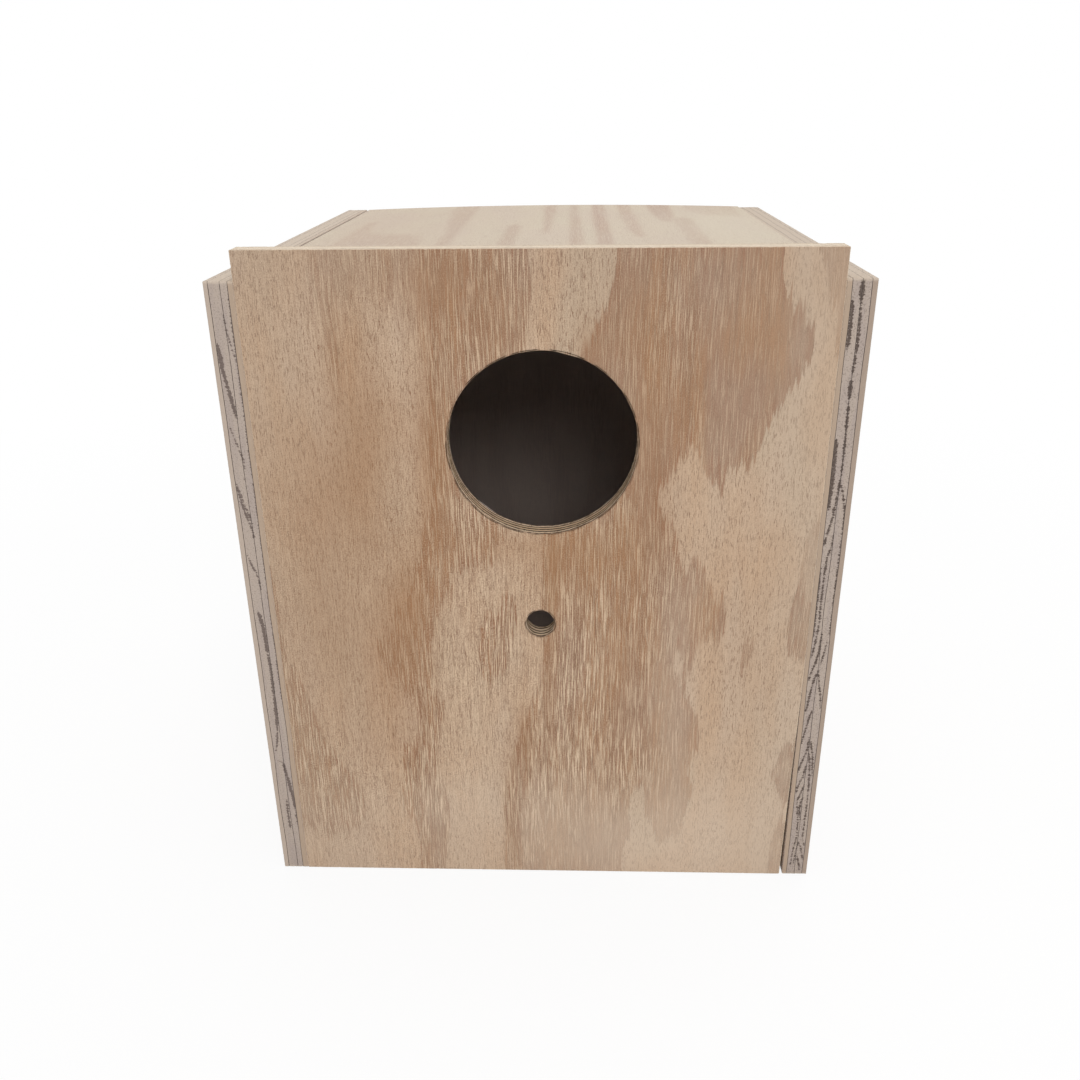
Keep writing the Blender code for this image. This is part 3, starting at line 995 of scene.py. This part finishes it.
def hinge_leaf(side_name, leaf_name, up, body, finish):
    """A hinge leaf, rolled round its pin, with teeth, round corners and countersunk holes."""
    node = f"{side_name}_hinge_{leaf_name}_leaf"
    pin_low, pin_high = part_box(f"{side_name}_hinge_pin")
    low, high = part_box(node)
    axis = (pin_low + pin_high) / 2
    length = high.x - low.x
    width = high.z - axis.z if up > 0 else axis.z - low.z

    def place(along, down, out):
        return (axis.x + along, axis.y + out, axis.z + up * down)

    section = leaf_section(width)
    ends = (-length / 2, length / 2)
    rolled = [[place(along, down, out) for out, down in section] for along in ends]
    leaf = lofted(node + "_rolled", rolled)
    plan = leaf_plan(length, width, 0 if up < 0 else 1)
    reach = KNUCKLE_CLEAR + OVERRUN
    teeth = [[place(along, down, out) for along, down in plan] for out in (-reach, reach)]
    combined(leaf, lofted("teeth", teeth), "INTERSECT")
    turns = [2 * math.pi * step / CUTTER_SIDES for step in range(CUTTER_SIDES)]
    for number in (1, 2):
        screw_low, screw_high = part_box(f"{side_name}_{leaf_name}_screw_{number}")
        head = (screw_low + screw_high) / 2 - axis
        cone = [
            [
                place(head.x + radius * math.cos(t), up * head.z + radius * math.sin(t), out)
                for t in turns
            ]
            for radius, out in COUNTERSINK
        ]
        combined(leaf, lofted("countersink", cone), "DIFFERENCE")
    bevel = leaf.modifiers.new("bevel", "BEVEL")
    bevel.width = LEAF_BEVEL
    bevel.segments = 2
    bevel.angle_limit = LEAF_CREASE
    settled(leaf)
    leaf.data.shade_smooth()
    leaf.data.set_sharp_from_angle(angle=LEAF_CREASE)
    leaf.data.materials.append(finish)
    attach(leaf, body)
    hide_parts(node)


# The figure of the front: outlines of its brown and pale zones in mm, from the middle of its foot
FRONT_ZONES = {
    "brown": [
        (
            [
                (-46, 312), (-4, 312), (-3, 300), (-2, 292), (-3, 283), (-4, 275), (-6, 268),
                (-4, 255), (-4, 200), (-12, 189), (-15, 188), (-17, 184), (-19, 180), (-20, 175),
                (-21, 170), (-25, 170), (-28, 168), (-33, 168), (-36, 166), (-39, 160), (-40, 155),
                (-41, 152), (-43, 150), (-46, 148), (-46, 138), (-49, 135), (-50, 130), (-50, 108),
                (-48, 103), (-46, 97), (-46, 90), (-47, 83), (-49, 77), (-51, 70), (-50, 62),
                (-50, 54), (-48, 47), (-46, 41), (-46, 35), (-47, 28), (-48, 20), (-49, 10),
                (-50, 4), (-51, -4), (-62, -4), (-62, 20), (-64, 28), (-68, 32), (-69, 40),
                (-68, 50), (-67, 60), (-68, 70), (-67, 76), (-60, 80), (-58, 85), (-58, 92),
                (-59, 97), (-61, 102), (-65, 108), (-68, 115), (-72, 122), (-76, 130), (-73, 135),
                (-68, 140), (-63, 150), (-57, 160), (-54, 170), (-51, 180), (-49, 190), (-47, 198),
                (-46, 206), (-46, 225), (-45, 250), (-43, 270), (-44, 290),
            ],
            0.95,
        ),
        (
            [
                (32, 312), (32, 300), (31, 293), (29, 287), (27, 282), (25, 278), (22, 275),
                (20, 270), (16, 264), (10, 250), (10, 200), (2, 190), (2, 170), (1, 160), (1, 148),
                (3, 142), (4, 137), (2, 130), (1, 120), (0, 112), (-1, 105), (-4, 100), (-7, 95),
                (-9, 90), (-10, 85), (-12, 78), (-14, 70), (-15, 62), (-18, 55), (-19, 48),
                (-20, 40), (-20, 30), (-18, 22), (-19, 15), (-20, 8), (-20, -4), (39, -4),
                (40, 10), (41, 17), (43, 24), (44, 30), (42, 35), (43, 46), (46, 50), (49, 54),
                (50, 50), (51, 44), (50, 38), (50, 33), (53, 31), (55, 27), (57, 21), (60, 20),
                (63, 21), (64, 18), (66, 20), (68, 25), (69, 33), (70, 42), (72, 48), (73, 53),
                (70, 60), (71, 68), (71, 75), (73, 71), (75, 72), (75, 79), (74, 84), (74, 91),
                (72, 98), (69, 101), (66, 102), (65, 105), (66, 112), (67, 118), (69, 125),
                (69, 130), (72, 133), (74, 139), (77, 138), (78, 132), (80, 131), (82, 140),
                (82, 150), (80, 155), (78, 152), (76, 156), (73, 163), (71, 171), (69, 173),
                (67, 170), (64, 170), (61, 171), (60, 176), (59, 184), (57, 190), (54, 196),
                (51, 200), (51, 205), (53, 209), (57, 213), (60, 218), (61, 223), (64, 226),
                (66, 224), (69, 222), (69, 216), (72, 215), (74, 211), (76, 209), (79, 208),
                (80, 213), (84, 216), (88, 217), (90, 222), (92, 228), (95, 233), (98, 238),
                (101, 245), (103, 250), (107, 256), (109, 262), (110, 268), (109, 275), (107, 280),
                (104, 284), (101, 288), (97, 291), (95, 297), (95, 312),
            ],
            0.9,
        ),
        (
            [
                (-24, 148), (-26, 145), (-27, 138), (-28, 130), (-28, 120), (-26, 113), (-24, 108),
                (-22, 110), (-21, 116), (-19, 117), (-17, 112), (-16, 118), (-14, 126), (-12, 130),
                (-12, 140), (-10, 148), (-12, 153), (-16, 156), (-18, 150), (-21, 146),
            ],
            1.0,
        ),
        (
            [
                (-126, 168), (-119, 165), (-118, 150), (-118, 138), (-119, 128), (-117, 120),
                (-113, 111), (-110, 102), (-109, 93), (-105, 81), (-101, 72), (-97, 64), (-93, 57),
                (-90, 48), (-87, 42), (-88, 35), (-92, 27), (-100, 23), (-110, 22), (-126, 26),
            ],
            1.0,
        ),
        (
            [
                (107, 312), (110, 302), (112, 296), (114, 291), (116, 286), (118, 280), (118, 268),
                (119, 262), (126, 262), (126, 312),
            ],
            0.7,
        ),
        ([(116, 190), (115, 180), (114, 165), (117, 152), (119, 146), (126, 146), (126, 195)], 0.5),
        ([(114, 77), (111, 69), (110, 60), (112, 52), (116, 45), (126, 43), (126, 80)], 1.0),
        ([(114, 160), (111, 152), (110, 140), (111, 131), (114, 126), (126, 124), (126, 162)], 1.0),
        ([(116, 32), (113, 24), (112, 14), (113, 2), (116, -4), (126, -4), (126, 34)], 0.9),
        ([(94, 142), (97, 134), (96, 124), (93, 116), (91, 120), (92, 132)], 0.5),
    ],
    "pale": [
        [(-24, 299), (-26, 294), (-29, 287), (-30, 280), (-28, 281), (-25, 287), (-23, 294)],
        [(63, 131), (61, 126), (62, 116), (63, 112), (65, 120), (65, 128)],
    ],
    "shades": [
        (
            [
                (-92, 325), (-30, 325), (-34, 200), (-49, 188), (-47, 215), (-50, 232), (-46, 250),
                (-47, 262), (-51, 278), (-58, 285), (-70, 290), (-78, 292), (-80, 275), (-80, 262),
                (-82, 243), (-86, 255), (-87, 272), (-90, 290),
            ],
            0.75,
            7.0,
        ),
        ([(-126, 40), (-88, 40), (-90, 20), (-97, 4), (-110, -10), (-126, -10)], 0.2, 8.0),
    ],
    # Warm (or, below nothing, bleached) places: their middle, their reach and how strong they are
    "glows": [
        (-76, 250, 12, 55, 0.35),
        (-88, 205, 30, 30, 0.3),
        (-100, 150, 22, 50, 0.3),
        (-70, 90, 16, 50, 0.2),
        (-42, 294, 16, 14, 0.4),
        (-20, 285, 18, 22, 0.35),
        (-44, 225, 8, 45, 0.5),
        (-58, 165, 12, 30, 0.3),
        (-64, 128, 14, 30, 0.3),
        (-20, 180, 22, 8, 0.3),
        (6, 160, 3, 45, 0.32),
        (3, 115, 3, 40, 0.32),
        (-8, 80, 4, 24, 0.45),
        (-15, 40, 4, 40, 0.45),
        (20, 178, 26, 16, 0.4),
        (38, 110, 8, 60, 0.2),
        (38, 284, 10, 24, 0.35),
        (46, 225, 12, 40, 0.4),
        (62, 245, 26, 30, 0.1),
        (52, 185, 10, 30, 0.25),
        (97, 120, 14, 50, 0.12),
        (62, 100, 14, 60, -0.2),
        (95, 30, 34, 50, -0.3),
        (15, 22, 40, 34, -0.32),
        (-60, 225, 7, 60, -0.1),
        (-35, 60, 14, 50, -0.15),
        (-92, 205, 36, 90, 0.15),
        (-95, 110, 26, 50, 0.12),
        (-62, 236, 9, 22, 0.3),
        (-44, 150, 20, 60, 0.08),
        (22, 268, 8, 12, 0.35),
        (14, 160, 15, 24, 0.22),
        (60, 18, 30, 28, -0.3),
        (62, 215, 26, 60, -0.14),
        (-60, 152, 10, 14, 0.15),
        (-52, 42, 60, 20, -0.2),
    ],
}

# The figure of the lid, in mm from its middle
LID_ZONES = {
    "brown": [],
    "pale": [],
    "shades": [
        (
            [
                (-104, -160), (-62, -160), (-60, -40), (-64, -15), (-72, -4), (-84, -2), (-94, 10),
                (-99, 60), (-104, 60),
            ],
            0.35,
            5.0,
        ),
        ([(-58, 160), (-62, 120), (-58, 60), (-52, 0), (-50, -160), (-45, -160), (-46, 160)], 0.4, 4.0),
        ([(-23, -160), (-21, 25), (-17, 34), (-14, 20), (-13, -160)], 0.45, 3.0),
        ([(-5, 160), (-3, 60), (-1, -10), (1, -10), (3, 60), (4, 160)], 0.5, 3.0),
        ([(12, 160), (12, 60), (12, -160), (19, -160), (19, 0), (18, 60), (17, 160)], 0.5, 3.0),
        ([(26, 160), (25, 60), (26, -160), (33, -160), (33, 60), (33, 160)], 0.65, 3.0),
        ([(41, 160), (42, 60), (43, 10), (46, -25), (50, -20), (50, 40), (49, 160)], 0.5, 3.0),
        ([(60, 160), (61, 80), (64, 48), (67, 42), (70, 50), (73, 80), (76, 160)], 0.65, 3.0),
        ([(70, 60), (70, -160), (79, -160), (80, 0), (82, 58), (76, 70)], 0.5, 4.0),
        ([(84, 160), (84, 110), (90, 85), (112, 80), (118, 160)], 0.4, 5.0),
    ],
    "glows": [(-90, 0, 40, 200, 0.14), (95, 30, 30, 90, -0.4)],
}

# Dark growth lines on the front edges of the sides, from the outer face and the foot in mm
LEFT_LINES = {
    "way": 1,
    "marks": [
        (0.22, [(6.6, 281), (7.1, 274), (8.3, 267), (9.6, 261)]),
        (0.75, [(2.6, 269), (3.4, 258), (4.3, 252), (5.5, 245), (6.4, 238)]),
        (0.22, [(2.8, 235), (4.9, 227), (6.4, 221)]),
        (0.4, [(6.3, 223), (6.8, 219), (6.9, 215)]),
        (0.45, [(6.0, 211.5), (6.05, 210.5)]),
        (0.4, [(2.4, 209), (3.4, 201), (5.0, 193), (6.5, 188), (6.9, 183)]),
        (0.3, [(3.4, 206), (4.6, 199), (6.2, 194), (6.9, 190)]),
        (0.3, [(2.9, 175), (4.0, 171), (5.8, 166.5), (6.7, 162), (6.8, 158)]),
        (0.85, [(4.2, 147), (5.4, 141), (5.9, 132), (6.0, 125)]),
        (0.6, [(6.0, 125), (6.3, 118), (6.4, 110), (6.3, 100), (6.1, 90)]),
        (0.75, [(6.2, 99), (6.0, 90), (5.7, 84)]),
        (0.45, [(5.7, 84), (5.0, 78), (4.1, 73), (3.3, 71)]),
        (0.5, [(3.4, 65.2), (5.3, 65)]),
        (0.7, [(6.3, 64), (7.2, 58), (8.1, 50), (9.0, 43), (9.3, 36)]),
        (0.35, [(9.3, 36), (9.4, 26)]),
        (0.5, [(5.6, 42), (5.3, 33), (5.6, 24)]),
        (0.15, [(9.6, 290), (9.7, 200), (9.7, 100)]),
    ],
}
RIGHT_LINES = {
    "way": -1,
    "marks": [
        (1.0, [(6.0, 294), (5.9, 285)]),
        (0.5, [(5.7, 285), (5.3, 272), (5.6, 262), (6.0, 256)]),
        (0.85, [(6.1, 254), (6.1, 246)]),
        (0.6, [(6.0, 244), (5.9, 232)]),
        (0.38, [(5.8, 232), (5.7, 212)]),
        (0.42, [(5.7, 212), (6.4, 203), (7.1, 195), (8.0, 190), (8.9, 185), (9.6, 180)]),
        (0.3, [(5.5, 210), (3.9, 204), (3.0, 199), (2.4, 196)]),
        (0.8, [(9.3, 286), (8.9, 275), (9.2, 266)]),
        (0.85, [(9.5, 229), (9.2, 218), (9.2, 210), (9.6, 198)]),
        (0.35, [(9.7, 170), (9.7, 135)]),
        (0.25, [(5.9, 188), (6.4, 180)]),
        (0.42, [(6.0, 181), (7.5, 176), (8.0, 168), (8.0, 150), (7.7, 143)]),
        (0.42, [(7.7, 143), (8.2, 136), (8.9, 130), (9.6, 125)]),
        (0.4, [(6.1, 138), (6.4, 128), (7.5, 122), (8.9, 117), (9.6, 113)]),
        (0.42, [(5.7, 118.5), (7.1, 114), (8.2, 107), (8.9, 100), (9.4, 96)]),
        (0.3, [(5.7, 118.5), (4.8, 112), (3.5, 106), (2.8, 98)]),
        (0.32, [(5.2, 121), (4.2, 127), (3.2, 134)]),
        (0.2, [(2.4, 200), (2.6, 160), (2.7, 135)]),
        (0.4, [(6.6, 97), (7.5, 92), (8.7, 85), (9.8, 78)]),
        (0.45, [(6.2, 82), (6.6, 75), (8.0, 70), (9.1, 66), (9.9, 62)]),
        (0.4, [(6.0, 67), (7.1, 60), (8.5, 56), (9.6, 50)]),
        (0.4, [(6.0, 55), (7.3, 50), (8.7, 45)]),
        (0.38, [(5.7, 48), (6.9, 44), (7.1, 40), (6.2, 34)]),
        (0.28, [(8.7, 45), (7.8, 38), (7.1, 32), (6.9, 26)]),
        (0.35, [(5.4, 80), (4.8, 77), (3.9, 72), (3.2, 66), (2.8, 60)]),
        (0.32, [(5.7, 74), (4.6, 66), (3.9, 55), (3.7, 42), (3.9, 30), (3.9, 22)]),
        (0.36, [(5.7, 20), (4.4, 17), (3.2, 12), (2.5, 9)]),
        (0.36, [(5.5, 11), (4.4, 7), (3.4, 2)]),
        (0.3, [(6.6, 26), (7.3, 20), (8.0, 14), (8.5, 6)]),
        (0.26, [(5.9, 20), (6.6, 14), (6.9, 6)]),
        (0.34, [(3.9, 22), (2.5, 18)]),
    ],
}

# Tones of the wood
FRONT_TONES = {
    "pale": linear(184, 160, 137),
    "pale_warm": linear(181, 151, 123),
    "pale_cool": linear(176, 158, 136),
    "pore": linear(134, 103, 80),
    "torn": linear(208, 183, 155),
    "brown": linear(149, 117, 95),
    "brown_warm": linear(155, 116, 84),
    "deep": linear(120, 86, 62),
    "rim": linear(136, 88, 58),
    "warm": linear(150, 108, 70),
    "bleached": linear(206, 187, 166),
    # The inner faces: a greyer tone, made paler as painted light for the shaded inside of the box
    "inside": linear(208, 194, 188),
    # Painted light: paler tones for the shaded walls of the holes, which stand in for the light they
    # lack
    "bored": linear(246, 218, 186),
    "bored_end": linear(216, 182, 144),
    "bored_glue": linear(62, 38, 22),
    "edge_long": linear(238, 223, 200),
    "edge_end": linear(206, 180, 146),
    "edge_inner": linear(206, 186, 154),
    "edge_tint": linear(178, 150, 118),
    "edge_line": linear(110, 84, 60),
    "edge_top": linear(213, 197, 178),
    "glue": linear(84, 60, 42),
}
LID_TONES = FRONT_TONES | {
    "pale": linear(203, 187, 169),
    "pale_warm": linear(205, 190, 170),
    "pale_cool": linear(206, 194, 172),
    "pore": linear(180, 158, 140),
    "torn": linear(218, 206, 188),
    "brown": linear(168, 133, 117),
    "brown_warm": linear(172, 136, 117),
    "deep": linear(172, 144, 128),
    "rim": linear(176, 146, 130),
    "warm": linear(184, 156, 136),
    "bleached": linear(212, 202, 182),
}
SIDE_TONES = FRONT_TONES | {
    "pale": linear(188, 166, 142),
    "pale_warm": linear(184, 158, 128),
    "edge_long": linear(177, 161, 147),
    "edge_end": linear(172, 157, 145),
    "edge_inner": linear(168, 147, 127),
    "edge_tint": linear(158, 144, 138),
    "edge_line": linear(68, 55, 48),
    "glue": linear(62, 52, 46),
}
LEFT_TONES = SIDE_TONES | {"edge_line": linear(100, 86, 79)}
RIGHT_TONES = SIDE_TONES | {"edge_line": linear(80, 66, 58), "edge_long": linear(159, 141, 126)}
# Where the front's fibres fade or, below nothing, stand out: across or along, from here to
# there in mm, and how much
FRONT_CALM = (
    ("along", 185, 245, 0.4),
    ("along", 65, 10, 0.35),
    ("across", 30, 85, 0.45),
    ("across", 25, -15, -0.5),
)
# Where the front is tinted, in the same way, and the tone
FRONT_TINTS = (
    ("across", -60, -120, 0.26, linear(166, 146, 126)),
    ("across", 84, 118, 0.3, linear(186, 170, 151)),
    # Paler towards the foot: painted light, which stands in for brighter light on the lower part of the
    # face
    ("along", 70, -20, 0.24, linear(204, 183, 162)),
    ("along", 262, 300, 0.12, linear(150, 130, 116)),
)

UP = (0, 0, 1)
RIGHT = (1, 0, 0)
AWAY = (0, 1, 0)
DOWN = (0, 0, -1)
LEFT = (-1, 0, 0)
TOWARDS = (0, -1, 0)
SIDES = (("left", LEFT, RIGHT), ("right", RIGHT, LEFT))

# The boards
front_low, front_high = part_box("front_panel")
back_low, back_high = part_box("back_panel")
sheet_thickness = back_high.y - back_low.y
front_width = front_high.x - front_low.x
front_height = front_high.z - front_low.z
front_middle = front_width / 2
front_plywood = plywood(
    "front_plywood", "XZY", FRONT_TONES, FRONT_SEED, tints=FRONT_TINTS, calm=FRONT_CALM
)
board(
    "front_board",
    "front_panel",
    (RIGHT, UP, AWAY),
    FRONT_SEED,
    front_plywood,
    outline=[
        (-JOINT_SWELL, 0),
        (front_width - FOOT_GAP, 0),
        (front_width + JOINT_SWELL, FOOT_GAP_HEIGHT),
        (front_width + JOINT_SWELL, front_height),
        (-JOINT_SWELL, front_height),
    ],
    holes=[
        ((front_middle + ENTRANCE_OFFSET, front_height - ENTRANCE_DROP), ENTRANCE_DIAMETER),
        ((front_middle, front_height - PERCH_HOLE_DROP), PERCH_HOLE_DIAMETER),
    ],
    plies=FRONT_PLIES,
    zones=FRONT_ZONES,
    middle=(front_middle / MM, 0),
)

nails = {
    side_name: [f"{side_name}_{joint}_nail_{n}" for joint in ("front", "back") for n in range(1, 5)]
    + [f"{side_name}_floor_nail_{n}" for n in range(1, 4)]
    for side_name, _, _ in SIDES
}
for side_name, axes, plies, seed, lines, tones in (
    ("left", (TOWARDS, UP, RIGHT), LEFT_PLIES, 15.0, LEFT_LINES, LEFT_TONES),
    ("right", (AWAY, UP, LEFT), RIGHT_PLIES, 27.0, RIGHT_LINES, RIGHT_TONES),
):
    low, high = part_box(f"{side_name}_side_panel")
    middles = [sum(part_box(node), Vector()) / 2 for node in nails[side_name]]
    along = Vector(axes[0])
    start = min(along.dot(low), along.dot(high))
    board(
        f"{side_name}_side_board",
        f"{side_name}_side_panel",
        axes,
        seed,
        plywood(f"{side_name}_side_plywood", "YZX", tones, seed),
        plies=plies,
        pits=[(along.dot(middle) - start, middle.z - low.z) for middle in middles],
        lines=lines,
    )
for name, node, axes, order, seed in (
    ("back_board", "back_panel", (LEFT, UP, TOWARDS), "XZY", 41.0),
    ("floor_board", "floor_panel", (RIGHT, TOWARDS, UP), "XYZ", 53.0),
):
    board(name, node, axes, seed, plywood(f"{name}_plywood", order, SIDE_TONES, seed))
cleat_plywood = plywood("cleat_plywood", "ZYX", SIDE_TONES, 67.0)
for side_name, axes, seed in (("left", (AWAY, UP, LEFT), 67.0), ("right", (TOWARDS, UP, RIGHT), 71.0)):
    node = f"{side_name}_lid_cleat"
    board(f"{side_name}_cleat", node, axes, seed, cleat_plywood, across_grain=True)


def lid_rise(share):
    """How far the lid stands up, from its left edge to its right edge."""
    return 4 * LID_CROWN * share * (1 - share) + LID_RIGHT_LIFT * share


lid_low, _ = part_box("lid")
board(
    "lid_board",
    "lid",
    (RIGHT, AWAY, DOWN),
    LID_SEED,
    plywood("lid_plywood", "XYZ", LID_TONES, LID_SEED, lively=0.42),
    bend=lid_rise,
    sheet=sheet_thickness,
    zones=LID_ZONES,
    middle=(-lid_low.x / MM, -lid_low.y / MM),
    body="lid",
)


# The hardware, whose profiles are radii and heights in mm, from the middle of the head
def profile(*points):
    return [(radius * MM, height * MM) for radius, height in points]


zinc = steel("zinc_plated_steel", linear(196, 198, 200), linear(150, 148, 142), (0.3, 6, 6), 5.0)
wire = steel("bright_wire", linear(186, 184, 178), linear(128, 112, 96), (3, 3, 3), 9.0)
nail_head = profile((0, 0), (1.3, 0), (1.6, -0.15), (1.6, -0.65), (1.45, -0.8), (0.8, -0.9))
nail = nail_head + profile((0.8, -28), (0, -30))
short_nail = nail_head + profile((0.8, -18), (0, -20))
screw = profile((0, 0), (1.9, 0), (2.2, -0.1), (2.2, -0.22), (1.1, -1.3), (1.1, -7.5), (0, -10))
cross_recess = {"Length": 2.5 * MM, "Width": 0.6 * MM, "Depth": 0.9 * MM}
pin_low, pin_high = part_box("left_hinge_pin")
rivet = profile((0, 0), (1.2, 0), (1.5, -0.2), (1.5, -0.5), (1.0, -0.5))
pin = rivet + [(radius, pin_low.x - pin_high.x - height) for radius, height in reversed(rivet)]
for side_name, outward, inward in SIDES:
    cleat_nails = [f"{side_name}_cleat_nail_{n}" for n in (1, 2)]
    turned_parts(f"{side_name}_nails", nail, NAIL_SIDES, nails[side_name], outward, wire)
    turned_parts(f"{side_name}_cleat_nails", short_nail, NAIL_SIDES, cleat_nails, inward, wire)
    turned_parts(f"{side_name}_pin", pin, PIN_SIDES, [f"{side_name}_hinge_pin"], RIGHT, zinc)
    for leaf_name, up, body in (("fixed", -1, "box"), ("lid", 1, "lid")):
        hinge_leaf(side_name, leaf_name, up, body, zinc)
        screws = [f"{side_name}_{leaf_name}_screw_{n}" for n in (1, 2)]
        name = f"{side_name}_{leaf_name}_screws"
        turned_parts(name, screw, SCREW_SIDES, screws, AWAY, zinc, body, cross_recess)

# Camera
forward = Vector(
    (
        math.sin(CAMERA_YAW) * math.cos(CAMERA_PITCH),
        math.cos(CAMERA_YAW) * math.cos(CAMERA_PITCH),
        math.sin(CAMERA_PITCH),
    )
)
level = Vector((math.cos(CAMERA_YAW), -math.sin(CAMERA_YAW), 0))
upright = level.cross(forward)
right = math.cos(CAMERA_ROLL) * level + math.sin(CAMERA_ROLL) * upright
top = math.cos(CAMERA_ROLL) * upright - math.sin(CAMERA_ROLL) * level
camera_data = bpy.data.cameras.new("camera")
camera_data.sensor_width = SENSOR_WIDTH
camera_data.lens = FOCAL_SHARE * SENSOR_WIDTH
camera_data.clip_start = NEAREST_SEEN
camera = linked("camera", camera_data)
turn = Matrix((right, top, -forward)).transposed().to_4x4()
camera.matrix_world = Matrix.Translation(CAMERA_PLACE) @ turn
bpy.context.scene.camera = camera

# Pale floor, which whitens away from the box, and a white background
FLOOR_REACH = 4.0
FLOOR_DROP = 0.2 * MM
WHITE_NEAR = 0.88
WHITE_START = 0.35
WHITE_FULL = 0.9


def seen_plainly(tree):
    """1 for what the camera sees, straight or in a mirror or glass, and 0 for light on surfaces."""
    path = tree.node("ShaderNodeLightPath")
    return path.most(path.out("Is Glossy Ray")).most(path.out("Is Transmission Ray"))


ground = Finish("studio_floor")
away = ground.node(
    "ShaderNodeVectorMath", {"operation": "LENGTH"}, {0: ground.node("ShaderNodeTexCoord").out("Object")}
)
fade = away.step(WHITE_START, WHITE_FULL) * (1 - WHITE_NEAR) + WHITE_NEAR
white = ground.node("ShaderNodeEmission", None, {"Color": (1, 1, 1, 1), "Strength": 1.0})
matt = ground.node("ShaderNodeBsdfDiffuse", None, {"Color": (0.95, 0.95, 0.95, 1)})
mixed = ground.node("ShaderNodeMixShader", None, {0: seen_plainly(ground) * fade, 1: matt, 2: white})
ground.node("ShaderNodeOutputMaterial", None, {"Surface": mixed})
square = ((-1, -1), (1, -1), (1, 1), (-1, 1))
corners = [(x * FLOOR_REACH, y * FLOOR_REACH, -FLOOR_DROP) for x, y in square]
floor_mesh = bpy.data.meshes.new("studio_floor")
floor_mesh.from_pydata(corners, [], [(0, 1, 2, 3)])
floor_mesh.materials.append(ground.material)
linked("studio_floor", floor_mesh)

# Soft plain light
WORLD_LIGHT = 0.66
world = bpy.data.worlds.new("studio")
bpy.context.scene.world = world
world.use_nodes = True
sky = Tree(world.node_tree)
sky.tree.nodes.clear()
lighting = sky.node("ShaderNodeBackground", None, {"Color": (1, 1, 1, 1), "Strength": WORLD_LIGHT})
shown = sky.node("ShaderNodeBackground", None, {"Color": (1, 1, 1, 1), "Strength": 1.0})
mixed = sky.node("ShaderNodeMixShader", None, {0: seen_plainly(sky), 1: lighting, 2: shown})
sky.node("ShaderNodeOutputWorld", None, {"Surface": mixed})
for name, place, target, size, power in (
    ("front_light", (0.6, -3.0, 2.2), (0, 0, 0.15), 1.8, 50),
    ("top_light", (0.3, 0.5, 2.2), (0, 0, 0.3), 1.4, 10),
):
    light = bpy.data.lights.new(name, "AREA")
    light.size = size
    light.energy = power
    turn = (Vector(target) - Vector(place)).to_track_quat("-Z", "Y").to_matrix().to_4x4()
    linked(name, light).matrix_world = Matrix.Translation(place) @ turn

bpy.context.scene.view_settings.view_transform = "Standard"
